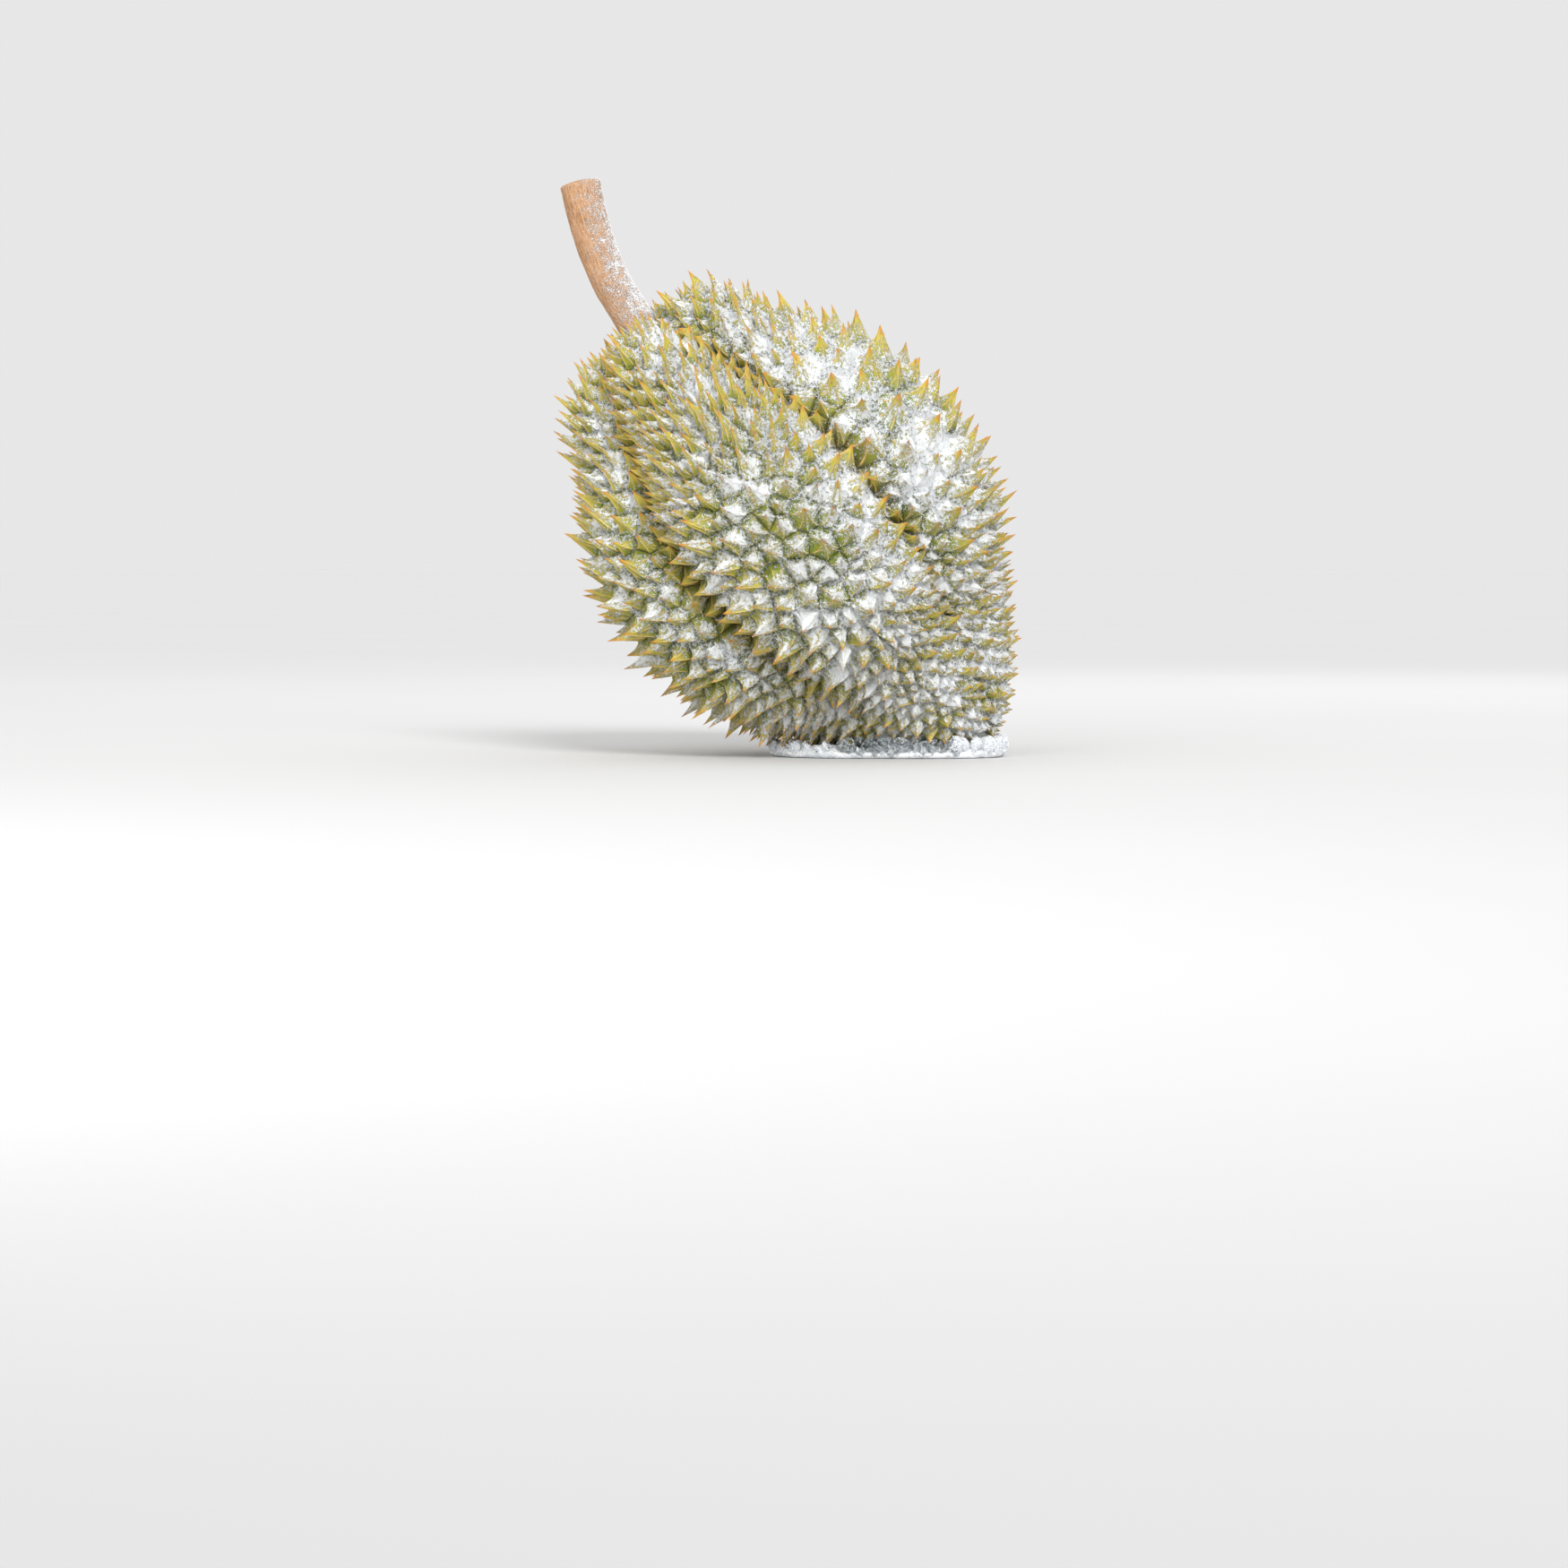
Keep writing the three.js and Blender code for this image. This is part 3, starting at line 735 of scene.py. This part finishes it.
# A smooth line through points: an even walk along cubics, as arrays of places and of directions.
def walkAlong(path, count):
    ends = np.vstack([2 * path[0] - path[1], path, 2 * path[-1] - path[-2]])
    t = np.linspace(0, len(path) - 1, 600)
    i = np.minimum(t.astype(int), len(path) - 2)
    u = (t - i)[:, None]
    a, b, c, d = (ends[i + k] for k in range(4))
    fine = b + 0.5 * u * (c - a + u * (2 * a - 5 * b + 4 * c - d + u * (3 * (b - c) + d - a)))
    far = np.concatenate([[0], np.cumsum(np.linalg.norm(np.diff(fine, axis=0), axis=1))])
    want = np.linspace(0, far[-1], count)
    places = np.stack([np.interp(want, far, fine[:, k]) for k in range(3)], axis=1)
    return places, unit(np.gradient(places, axis=0)), far[-1]


# Rings of points joined into a closed skin, with a middle point at each end.
def tubeTriangles(rings, sides):
    r, s = np.meshgrid(np.arange(rings - 1), np.arange(sides), indexing="ij")
    a = r * sides + s
    b = r * sides + (s + 1) % sides
    halves = (np.stack([a, b, b + sides], -1), np.stack([a, b + sides, a + sides], -1))
    k = np.arange(sides)
    after = (k + 1) % sides
    last = (rings - 1) * sides
    low, high = rings * sides, rings * sides + 1
    return np.vstack([np.concatenate(halves).reshape(-1, 3), np.stack([np.full(sides, low), after, k], 1),
                      np.stack([np.full(sides, high), last + k, last + after], 1)])


def makeStemMesh():
    middle, ahead, length = walkAlong(stem["path"], stem["along"])
    middle = middle - ahead[-1] * stem["dome"] * np.linspace(0, 1, stem["along"])[:, None] ** 4
    up = np.cross(ahead, forward)
    t = np.linspace(0, 1, stem["along"])[:, None]
    turn = np.arange(stem["around"])[None] * 2 * math.pi / stem["around"]
    flare = 1 + stem["endFlare"] * t ** 3 + stem["footFlare"] * (1 - t) ** 6
    radius = stem["radius"] * flare - stem["inset"]
    fibres = np.sin(23 * turn + 5 * np.sin(9 * t) + 2 * np.sin(3 * turn))
    fibres = fibres + np.sin(41 * turn - 7 * np.sin(6 * t + turn))
    lumps = np.sin(3 * turn + 11 * t) * np.sin(17 * t + 2 * turn) + 0.6 * np.sin(5 * turn - 23 * t)
    radius = radius + stem["fibreDepth"] * fibres * 0.5 + stem["lumpDepth"] * lumps
    edge = np.clip((length * (1 - t)) / stem["edgeLength"], 0, 1)
    radius = radius * (1 - stem["edgeDrop"] * (1 - edge) ** 2)
    spoke = forward[None, None] * np.cos(turn)[..., None] + up[:, None] * np.sin(turn)[..., None]
    places = middle[:, None] + spoke * radius[..., None]

    def endRing(share):
        domed = ahead[-1] * stem["dome"] * (1 - share ** 2)
        return middle[-1] + spoke[-1] * (radius[-1] * share)[:, None] + domed

    places = np.concatenate([places, np.stack([endRing(share) for share in stem["endRings"]])])
    ends = np.vstack([middle[0], middle[-1] + ahead[-1] * stem["dome"]])
    cloud = np.vstack([places.reshape(-1, 3), ends])
    mesh = meshFrom("stem_bark", cloud, tubeTriangles(len(places), stem["around"]))
    setSmooth(mesh, True)
    rings = len(stem["endRings"])
    rows = np.concatenate([t[:, 0], np.ones(rings)])
    along = np.concatenate([np.repeat(rows, stem["around"]), [0, 1]])
    onCut = np.concatenate([np.zeros(stem["along"]), np.ones(rings)])
    turns = np.concatenate([np.tile(turn[0], len(places)), [0, 0]])
    addAttribute(mesh, "along", along)
    addAttribute(mesh, "cut", np.concatenate([np.repeat(onCut, stem["around"]), [0, 1]]))
    addAttribute(mesh, "roundX", np.cos(turns))
    addAttribute(mesh, "roundY", np.sin(turns))
    lit = vertexNormals(mesh) @ stem["frostFrom"]
    atFoot = stem["footShare"] * (1 - along) ** 1.5
    addAttribute(mesh, "frost", stem["frost"] + stem["litShare"] * lit + atFoot)
    return mesh


# The stem's finish: tan bark with fibres along it, a paler cut end, and frost on the right and at the foot.
def makeStemFinish():
    m = Recipe("stem_finish")
    along, cut, frosty = m.attribute("along"), m.attribute("cut"), m.attribute("frost")
    across = {0: m.attribute("roundX"), 1: m.attribute("roundY"), 2: along * 1.6}
    wound = m.add("ShaderNodeCombineXYZ", None, across)
    fibre = m.noise(17.0, 6.0, vector=wound, roughness=0.65)
    fine = m.noise(1500.0, 2.0)
    blotch = m.noise(110.0, 3.0)
    bark = m.blend(*stem["bark"], m.step(fibre * 0.7 + blotch * 0.3, 0.34, 0.62))
    bark = m.blend(bark, stem["blotch"], m.step(blotch, 0.5, 0.7) * 0.5)
    bark = m.blend(bark, stem["cutEnd"], cut * 0.8)
    grains = m.noise(1500.0, 2.0, roughness=0.7)
    clumps = m.noise(300.0, 2.0)
    cover = frosty + (grains - 0.5) * 2.0 + (clumps - 0.5) * 1.1
    white = m.step(cover, 0.50, 0.62)
    iced = m.blend(bark, stem["film"], m.step(cover, 0.1, 0.8) * 0.45)
    iced = m.blend(iced, stem["white"], white * 0.95)
    height = m.bump(fibre * 0.7 + fine * 0.3, 0.0009)
    height = m.bump(white * (0.4 + grains), 0.0006, height)
    return m.done({"Base Color": iced, "Roughness": 0.68 + white * 0.08, "Normal": height})


stemMesh = makeStemMesh()
addPiece("stem_bark", stemMesh, makeStemFinish(), "stem", "stem")
print("stage: stem made")


# The ice: a low patch with a rounded rim, and clear lumps that stand along it. Its outline is an oval with
# waves, each with its share, its count and its start. The rim has a height and an inset for each ring. A
# lump's sizes are ranges, and the lumps left of clearFrom and right of clearTo are snowy.
ice = {
    "halfLength": 60.0,
    "halfWidth": 38.0,
    "squareness": 2.3,
    "waves": ((0.03, 3, 3.9), (0.022, 7, 5.2)),
    "sides": 240,
    "rim": np.array([[0, 2.6], [0.4, 1.5], [1.2, 0.7], [2.2, 0.5], [3.0, 0.9], [3.8, 1.9], [4.8, 3.4],
                     [5.6, 5.2], [6.0, 8.0], [5.6, 12.0]]),
    "patchInset": 0.5,
    "topMiddle": 5.2,
    "lumpCount": 58,
    "lumpRadius": 3.7,
    "lumpSizes": (0.80, 1.10),
    "lumpInsets": (2.54, 3.74),
    "lumpHeights": (4.6, 6.1),
    "lumpSpans": ((0.8, 1.1), (0.8, 1.1), (1.2, 1.65)),
    "lumpLean": 0.35,
    "lumpLeanVariety": 0.5,
    "lumpSpin": 6.28,
    "lumpLimits": (0.15, 11.0),
    "lumpSeed": 12,
    "roughness": 1.7,
    "roughSeed": 5,
    "clearFrom": -28.0,
    "clearTo": 27.0,
    "clearFade": 10.0,
    "smallShare": 0.35,
    "smallDrop": 1.2,
    "milky": (colour(200, 205, 208), colour(243, 244, 246)),
    "clear": colour(242, 247, 250),
    "snow": colour(226, 231, 236),
    "ior": 1.31,
}


def iceEdge(turn, inset):
    wave = 1
    for share, count, start in ice["waves"]:
        wave = wave + share * np.sin(count * turn + start)
    along = np.abs(np.cos(turn)) / ice["halfLength"]
    across = np.abs(np.sin(turn)) / ice["halfWidth"]
    oval = (along ** ice["squareness"] + across ** ice["squareness"]) ** (-1 / ice["squareness"])
    return oval * wave - inset


# The patch is a ring for each height of the rim, wavy where it is free and flat below.
def makeIcePatch():
    turn = np.arange(ice["sides"])[None] * 2 * math.pi / ice["sides"]
    level, inset = ice["rim"][:, :1], ice["rim"][:, 1:]
    free = smoothStep(1.0, 5.0, level)
    ripple = np.sin(19 * turn + 2 * np.sin(5 * turn) + level) * 0.35 + np.sin(43 * turn - level) * 0.22
    reach = iceEdge(turn, inset) - ice["patchInset"] - ripple * smoothStep(0.0, 2.0, level) * 0.5
    height = level + free * (0.5 * np.sin(11 * turn + 4 * np.sin(2 * turn)) + 0.4 * np.sin(29 * turn + inset))
    places = np.stack([reach * np.cos(turn), reach * np.sin(turn), height], axis=-1)
    cloud = np.vstack([places.reshape(-1, 3), [[0, 0, 0], [0, 0, ice["topMiddle"]]]])
    mesh = meshFrom("ice_patch", cloud, tubeTriangles(len(ice["rim"]), ice["sides"]))
    setSmooth(mesh, True)
    return mesh


# The twenty-sided solid that each lump starts from.
def gem():
    ratio = (1 + math.sqrt(5)) / 2
    base = [(-1, ratio, 0), (1, ratio, 0), (-1, -ratio, 0), (1, -ratio, 0)]
    places = unit(np.array([p[k:] + p[:k] for k in (0, 2, 1) for p in base], dtype=float))
    near = np.linalg.norm(places[:, None] - places[None], axis=2)
    close = (near > 0.1) & (near < 1.2)
    a, b = np.nonzero(np.triu(close))
    both = close[a] & close[b]
    row, c = np.nonzero(both)
    faces = np.unique(np.sort(np.stack([a[row], b[row], c], 1), axis=1), axis=0)
    first, second, third = (places[faces[:, k]] for k in range(3))
    inward = dot(np.cross(second - first, third - first), first) < 0
    faces[inward] = faces[inward][:, ::-1]
    return places, faces


# Each triangle of a round solid cut into four.
def rounder(places, faces):
    sides = np.sort(faces[:, [[0, 1], [1, 2], [2, 0]]].reshape(-1, 2), axis=1)
    pairs, at = np.unique(sides, axis=0, return_inverse=True)
    grown = np.vstack([places, unit(places[pairs].mean(axis=1))])
    a, b, c = faces.T
    ab, bc, ca = (len(places) + at.reshape(-1, 3)).T
    quarters = ((a, ab, ca), (ab, b, bc), (ca, bc, c), (ab, bc, ca))
    return grown, np.vstack([np.stack(quarter, axis=1) for quarter in quarters])


# Copies of one small solid, each with its own sizes, turn and place, as one array of points and triangles.
def scatter(places, faces, stretched, turned, moved):
    cloud = np.einsum("nij,nkj->nki", turned, places[None] * stretched[:, None]) + moved[:, None]
    shift = np.arange(len(moved))[:, None, None] * len(places)
    return cloud.reshape(-1, 3), (faces[None] + shift).reshape(-1, 3)


# Turns that bring +Z onto each axis, with a spin about it.
def turnsTo(axes, spin):
    helper = np.where(np.abs(axes[:, 2:3]) < 0.9, np.array([0.0, 0.0, 1.0]), np.array([1.0, 0.0, 0.0]))
    x = unit(np.cross(helper, axes))
    y = np.cross(axes, x)
    c, s = np.cos(spin)[:, None], np.sin(spin)[:, None]
    return np.stack([x * c + y * s, y * c - x * s, axes], axis=2)


def makeIceLumps():
    random = np.random.default_rng(ice["lumpSeed"])
    count = ice["lumpCount"]
    turn = (np.arange(count) + 0.5 * random.random(count)) * 2 * math.pi / count
    size = ice["lumpRadius"] * mixed(*ice["lumpSizes"], random.random(count))
    reach = iceEdge(turn, mixed(*ice["lumpInsets"], random.random(count)))
    small = smoothStep(ice["clearFrom"], ice["clearFrom"] - ice["clearFade"], reach * np.cos(turn))
    height = mixed(*ice["lumpHeights"], random.random(count)) - ice["smallDrop"] * small
    size = size * (1 - ice["smallShare"] * small)
    moved = np.stack([reach * np.cos(turn), reach * np.sin(turn), height], axis=1)
    spans = [mixed(*span, random.random(count)) for span in ice["lumpSpans"]]
    stretched = size[:, None] * np.stack(spans, axis=1)
    places, faces = rounder(*gem())
    lean = ice["lumpLean"]
    outward = np.stack([lean * np.cos(turn), lean * np.sin(turn), np.ones(count)], axis=1)
    axes = unit(outward + ice["lumpLeanVariety"] * (random.random((count, 3)) - 0.5))
    turned = turnsTo(axes, random.random(count) * ice["lumpSpin"])
    cloud, skin = scatter(places, faces, stretched, turned, moved)
    cloud += (np.random.default_rng(ice["roughSeed"]).random(cloud.shape) - 0.5) * ice["roughness"]
    cloud[:, 2] = np.clip(cloud[:, 2], *ice["lumpLimits"])
    mesh = meshFrom("ice_lumps", cloud, skin)
    setSmooth(mesh, True)
    x, fade = cloud[:, 0], ice["clearFade"]
    snowRight = smoothStep(ice["clearTo"] - fade / 2, ice["clearTo"] + fade, x)
    snowLeft = smoothStep(ice["clearFrom"] + fade / 2, ice["clearFrom"] - fade, x)
    snow = np.maximum(snowRight, snowLeft)
    addAttribute(mesh, "snow", snow)
    addAttribute(mesh, "frost", snow * smoothStep(1.0, 4.0, cloud[:, 2]))
    return mesh


# The patch is milky, clearer in places.
def makeMilkyFinish():
    m = Recipe("milky_ice")
    cloudy = m.step(m.noise(110.0, 4.0, roughness=0.6) + (m.noise(900.0, 3.0) - 0.5) * 0.6, 0.36, 0.58)
    tint = m.blend(*ice["milky"], cloudy)
    height = m.bump(m.noise(420.0, 4.0), 0.0010)
    height = m.bump(m.noise(1500.0, 3.0) * cloudy, 0.0006, height)
    rough = 0.12 + cloudy * 0.45
    return m.done({"Base Color": tint, "Roughness": rough, "Normal": height, "IOR": ice["ior"]})


# The lumps are clear, with rounded waves and a few white flaws, and snowy towards both ends of the patch: a
# mix of a clear and a white shader.
def makeClearFinish():
    m = Recipe("clear_ice")
    flaws = m.step(m.noise(700.0, 4.0, roughness=0.6) + m.attribute("snow") * 0.28, 0.54, 0.74) * 0.85
    waves = m.bump(m.noise(300.0, 3.0), 0.0008)
    m.done({"Base Color": ice["clear"], "Roughness": 0.04, "IOR": ice["ior"], "Transmission Weight": 1.0,
            "Normal": waves})
    rough = m.bump(m.noise(1100.0, 3.0), 0.0008)
    white = {"Base Color": ice["snow"], "Roughness": 0.5, "Normal": rough}
    snow = m.add("ShaderNodeBsdfPrincipled", None, white)
    clear = Wire(m, m.finish.outputs[0])
    both = m.add("ShaderNodeMixShader", None, {0: flaws, 1: clear, 2: snow})
    m.fill(m.tree.nodes["Material Output"], {"Surface": both})
    return m.material


addPiece("ice_patch", makeIcePatch(), makeMilkyFinish(), "ice", "ice")
lumpMesh = makeIceLumps()
addPiece("ice_lumps", lumpMesh, makeClearFinish(), "ice")
print("stage: ice made")


# Frost crystals that stand on the husk, the stem and the snowy lumps, more of them where the frost is
# thick. Each is a pyramid of four faces, with its own size, lean and turn. A kind has a range of widths and
# one of lengths.
crystals = {
    "grain": ((0.21, 0.42), (0.30, 0.65)),
    "needle": ((0.10, 0.18), (0.5, 1.3)),
    "stemNeedle": ((0.10, 0.18), (0.4, 1.0)),
    "shortMoreOften": 1.5,
    "lean": 1.1,
    "thinBelow": 0.16,
    "thickAbove": 0.75,
}


def makeCrystals(name, mesh, count, kind, seed, lowest):
    widths, lengths = crystals[kind]
    random = np.random.default_rng(seed)
    mesh.calc_loop_triangles()
    corner = np.empty(len(mesh.loop_triangles) * 3, dtype=np.int32)
    mesh.loop_triangles.foreach_get("vertices", corner)
    corner = corner.reshape(-1, 3)
    places, normals = vertexPoints(mesh), vertexNormals(mesh)
    cover = np.empty(len(mesh.vertices), dtype=np.float32)
    mesh.attributes["frost"].data.foreach_get("value", cover)
    a, b, c = (places[corner[:, k]] for k in range(3))
    area = np.linalg.norm(np.cross(b - a, c - a), axis=1)
    thickness = smoothStep(crystals["thinBelow"], crystals["thickAbove"], cover[corner].mean(axis=1))
    wanted = np.cumsum(area * thickness * (a[:, 2] > lowest))
    chosen = np.searchsorted(wanted / wanted[-1], random.random(count))
    share = random.dirichlet((1, 1, 1), count)
    spot = np.einsum("nk,nkj->nj", share, places[corner[chosen]])
    outward = np.einsum("nk,nkj->nj", share, normals[corner[chosen]])
    axes = unit(outward + crystals["lean"] * (random.random((count, 3)) - 0.5))
    wide = mixed(*widths, random.random(count))
    long = mixed(*lengths, random.random(count) ** crystals["shortMoreOften"])
    pyramid = np.array([[1, 0, -0.3], [-0.5, 0.87, -0.3], [-0.5, -0.87, -0.3], [0, 0, 1.0]])
    faces = np.array([[0, 2, 1], [0, 1, 3], [1, 2, 3], [2, 0, 3]])
    turned = turnsTo(axes, random.random(count) * 2 * math.pi)
    cloud, skin = scatter(pyramid, faces, np.stack([wide, wide, long], axis=1), turned, spot)
    cloud = np.clip(cloud, np.array(cadBox[0]) / mm, np.array(cadBox[1]) / mm)
    crystalMesh = meshFrom(name, cloud, skin)
    setSmooth(crystalMesh, False)
    return crystalMesh


def makeCrystalFinish():
    m = Recipe("frost_finish")
    tint = m.blend(colour(238, 243, 248), colour(255, 255, 255), m.noise(800.0))
    return m.done({"Base Color": tint, "Roughness": 0.35, "IOR": ice["ior"]})


# Each piece: its name, what it stands on, its count, its kind, its seed, its lowest height and its slot.
crystalPieces = (
    ("husk_frost", huskMesh, 47000, "grain", 71, 6.5, "husk"),
    ("husk_needles", huskMesh, 44000, "needle", 72, 6.5, "husk"),
    ("stem_frost", stemMesh, 9000, "stemNeedle", 73, 6.5, "stem"),
    ("ice_frost", lumpMesh, 8000, "grain", 74, 1.0, "ice"),
)
frostFinish = makeCrystalFinish()
for name, mesh, count, kind, seed, lowest, slot in crystalPieces:
    addPiece(name, makeCrystals(name, mesh, count, kind, seed, lowest), frostFinish, slot)
print("stage: frost made")


# Floor, light and camera. The camera's frame is taken as 1750 pixels square, and originPixel is where the
# part's origin lies in it. Places and distances are in metres, and the lens and the sensor in millimetres.
studio = {
    "frameSide": 1750,
    "mmPerPixel": 0.45,
    "originPixel": (995, 843),
    "lens": 100.0,
    "sensor": 36.0,
    "distance": 2.19,
    "elevation": 3.0 * deg,
    "middle": (-0.045, 0.0, 0.12),
    "sunFrom": (0.22, -1.0, 0.84),
    "sunSpread": 20 * deg,
    "sunStrength": 2.15,
    "lamps": (("key", (-0.6, -1.25, 0.65), 5.5), ("fill", (0.45, 1.25, 0.95), 2.5)),
    "lampSize": 0.9,
    "skyStrength": 0.80,
    "floor": ((0.645, 0.645, 0.645, 1), (0.67, 0.67, 0.67, 1)),
    "floorSize": 60.0,
    "floorDrop": 0.0002,
}


def makeFloor():
    m = Recipe("floor_finish")
    bpy.ops.mesh.primitive_plane_add(size=studio["floorSize"], location=(0, 0, -studio["floorDrop"]))
    floor = bpy.context.object
    floor.name = "floor"
    pale = m.blend(*studio["floor"], m.noise(3.0, 2.0))
    floor.data.materials.append(m.done({"Base Color": pale, "Roughness": 0.9}))


# A light that looks at the middle of the fruit.
def makeLight(name, kind, place, energy):
    data = bpy.data.lights.new(name, kind)
    data.energy = energy
    light = bpy.data.objects.new(name, data)
    bpy.context.scene.collection.objects.link(light)
    light.location = place
    light.rotation_euler = (Vector(studio["middle"]) - Vector(place)).to_track_quat("-Z", "Y").to_euler()
    return data


def makeLights():
    sun = makeLight("sky", "SUN", studio["sunFrom"], studio["sunStrength"])
    sun.angle = studio["sunSpread"]
    for name, place, power in studio["lamps"]:
        lamp = makeLight(name, "AREA", place, power)
        lamp.shape = "DISK"
        lamp.size = studio["lampSize"]
    world = bpy.data.worlds.new("studio")
    world.use_nodes = True
    background = world.node_tree.nodes["Background"]
    background.inputs["Color"].default_value = (1.0, 1.0, 1.0, 1)
    background.inputs["Strength"].default_value = studio["skyStrength"]
    bpy.context.scene.world = world


def makeCamera():
    half = studio["frameSide"] / 2
    scale = studio["mmPerPixel"] * mm
    column, row = studio["originPixel"]
    target = Vector(((half - column) * scale, 0, (row - half) * scale))
    data = bpy.data.cameras.new("camera")
    data.lens = studio["lens"]
    data.sensor_width = studio["sensor"]
    camera = bpy.data.objects.new("camera", data)
    bpy.context.scene.collection.objects.link(camera)
    back = Vector((0, -math.cos(studio["elevation"]), math.sin(studio["elevation"])))
    camera.location = target + back * studio["distance"]
    camera.rotation_euler = (-back).to_track_quat("-Z", "Y").to_euler()
    bpy.context.scene.camera = camera


makeFloor()
makeCamera()
makeLights()
bpy.context.scene.view_settings.view_transform = "Standard"
print("stage: floor, light and camera made")
